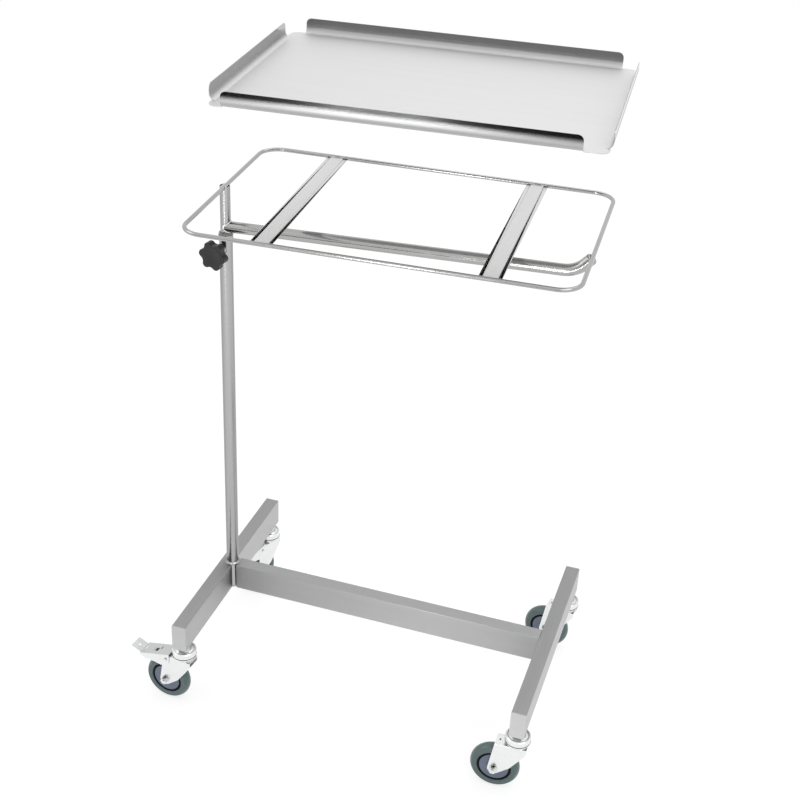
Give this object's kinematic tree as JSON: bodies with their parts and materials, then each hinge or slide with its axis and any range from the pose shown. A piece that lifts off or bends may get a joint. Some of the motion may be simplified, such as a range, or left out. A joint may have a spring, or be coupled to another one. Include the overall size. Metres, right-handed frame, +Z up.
{
  "type": "instrument table",
  "caption": "Mobile instrument table: H-shaped base on swivel casters, telescopic side post with a clamp knob, and a tray ring on a support arm with a lift-off tray.",
  "frame": {"origin": "on the floor, under the middle of the base", "axes": "+Z up, +X from the post's side of the base to the other foot bar, +Y to the back, along the foot bars"},
  "size_m": [0.8652, 0.529, 1.3365],
  "materials": {
    "base_steel": "fine brushed stainless tube",
    "polished_steel": "polished stainless",
    "tray_steel": "bright satin stainless sheet",
    "zinc_steel": "bright zinc plated",
    "bright_hardware": "bright plated",
    "bush_plastic": "hard dark plastic",
    "knob_plastic": "matt black",
    "wheel_plastic": "blue-grey moulded",
    "tyre_rubber": "grey non-marking",
    "brake_rubber": "matt black"
  },
  "bodies": {
    "base": {"left_foot_bar": "base_steel", "right_foot_bar": "base_steel", "cross_bar": "base_steel", "foot_end_plates": "base_steel", "post_socket": "polished_steel", "post_foot_plug": "base_steel", "outer_post": "polished_steel", "post_collar": "polished_steel", "post_guide_bush": "bush_plastic", "clamp_boss": "polished_steel", "stem_sockets": "zinc_steel", "caster_stems": "bright_hardware", "caster_cups": "zinc_steel"},
    "clamp": {"clamp_pad": "bush_plastic"},
    "knob": {"clamp_screw": "bright_hardware", "star_knob": "knob_plastic"},
    "mast_guide": {"mast_guide_bush": "bush_plastic"},
    "mast": {"mast_tube": "polished_steel", "mast_foot_plug": "bush_plastic", "support_arm": "polished_steel", "ring_rod": "polished_steel", "left_cross_strip": "tray_steel", "right_cross_strip": "tray_steel"},
    "tray": {"tray": "tray_steel"},
    "front_left_wheel": {"front_left_wheel_core": "wheel_plastic", "front_left_tyre": "tyre_rubber"},
    "front_left_brake": {"front_left_brake_pedal": "zinc_steel", "front_left_brake_shoe": "brake_rubber"},
    "front_left_caster": {"front_left_fork": "zinc_steel", "front_left_lower_race": "zinc_steel", "front_left_race_balls": "bright_hardware", "front_left_axle_set": "bright_hardware", "front_left_axle_sleeve": "bright_hardware", "front_left_pedal_pin": "bright_hardware"},
    "back_left_wheel": {"back_left_wheel_core": "wheel_plastic", "back_left_tyre": "tyre_rubber"},
    "back_left_brake": {"back_left_brake_pedal": "zinc_steel", "back_left_brake_shoe": "brake_rubber"},
    "back_left_caster": {"back_left_fork": "zinc_steel", "back_left_lower_race": "zinc_steel", "back_left_race_balls": "bright_hardware", "back_left_axle_set": "bright_hardware", "back_left_axle_sleeve": "bright_hardware", "back_left_pedal_pin": "bright_hardware"},
    "front_right_wheel": {"front_right_wheel_core": "wheel_plastic", "front_right_tyre": "tyre_rubber"},
    "front_right_caster": {"front_right_fork": "zinc_steel", "front_right_lower_race": "zinc_steel", "front_right_race_balls": "bright_hardware", "front_right_axle_set": "bright_hardware", "front_right_axle_sleeve": "bright_hardware"},
    "back_right_wheel": {"back_right_wheel_core": "wheel_plastic", "back_right_tyre": "tyre_rubber"},
    "back_right_caster": {"back_right_fork": "zinc_steel", "back_right_lower_race": "zinc_steel", "back_right_race_balls": "bright_hardware", "back_right_axle_set": "bright_hardware", "back_right_axle_sleeve": "bright_hardware"}
  },
  "joints": [
    {"name": "mast_slide", "type": "slide", "parent": "base", "child": "mast_guide", "axis": [0, 0, 1], "range_m": [0, 0.35]},
    {"name": "table_swivel", "type": "hinge", "parent": "mast_guide", "child": "mast", "pos_m": [-0.345, 0, 0.976], "axis": [0, 0, 1], "continuous": true},
    {"name": "tray_lift", "type": "slide", "parent": "mast", "child": "tray", "axis": [0, 0, 1], "range_m": [-0.2327, 0]},
    {"name": "clamp_travel", "type": "slide", "parent": "base", "child": "clamp", "axis": [-0.1564, -0.9877, 0], "range_m": [0, 0.0025]},
    {"name": "knob_turn", "type": "hinge", "parent": "clamp", "child": "knob", "pos_m": [-0.345, 0, 0.947], "axis": [-0.1564, -0.9877, 0], "range_deg": [0, 721]},
    {"name": "caster_swivel_front_left", "type": "hinge", "parent": "base", "child": "front_left_caster", "pos_m": [-0.355, -0.2245, 0.12], "axis": [0, 0, 1], "continuous": true},
    {"name": "wheel_spin_front_left", "type": "hinge", "parent": "front_left_caster", "child": "front_left_wheel", "pos_m": [-0.3947, -0.21962, 0.05], "axis": [-0.1219, -0.9925, 0], "continuous": true},
    {"name": "brake_pedal_front_left", "type": "hinge", "parent": "front_left_caster", "child": "front_left_brake", "pos_m": [-0.39073, -0.22011, 0.107], "axis": [-0.1219, -0.9925, 0], "range_deg": [0, 7.5]},
    {"name": "caster_swivel_back_left", "type": "hinge", "parent": "base", "child": "back_left_caster", "pos_m": [-0.355, 0.2245, 0.12], "axis": [0, 0, 1], "continuous": true},
    {"name": "wheel_spin_back_left", "type": "hinge", "parent": "back_left_caster", "child": "back_left_wheel", "pos_m": [-0.36998, 0.18741, 0.05], "axis": [0.9272, -0.3746, 0], "continuous": true},
    {"name": "brake_pedal_back_left", "type": "hinge", "parent": "back_left_caster", "child": "back_left_brake", "pos_m": [-0.36849, 0.19112, 0.107], "axis": [0.9272, -0.3746, 0], "range_deg": [0, 7.5]},
    {"name": "caster_swivel_front_right", "type": "hinge", "parent": "base", "child": "front_right_caster", "pos_m": [0.355, -0.2245, 0.12], "axis": [0, 0, 1], "continuous": true},
    {"name": "wheel_spin_front_right", "type": "hinge", "parent": "front_right_caster", "child": "front_right_wheel", "pos_m": [0.31501, -0.2252, 0.05], "axis": [0.0175, -0.9998, 0], "continuous": true},
    {"name": "caster_swivel_back_right", "type": "hinge", "parent": "base", "child": "back_right_caster", "pos_m": [0.355, 0.2245, 0.12], "axis": [0, 0, 1], "continuous": true},
    {"name": "wheel_spin_back_right", "type": "hinge", "parent": "back_right_caster", "child": "back_right_wheel", "pos_m": [0.3153, 0.22937, 0.05], "axis": [-0.1219, -0.9925, 0], "continuous": true}
  ],
  "couplings": [
    {"joint": "knob_turn", "follows": "clamp_travel", "rad_per_m": 5026.5}
  ]
}
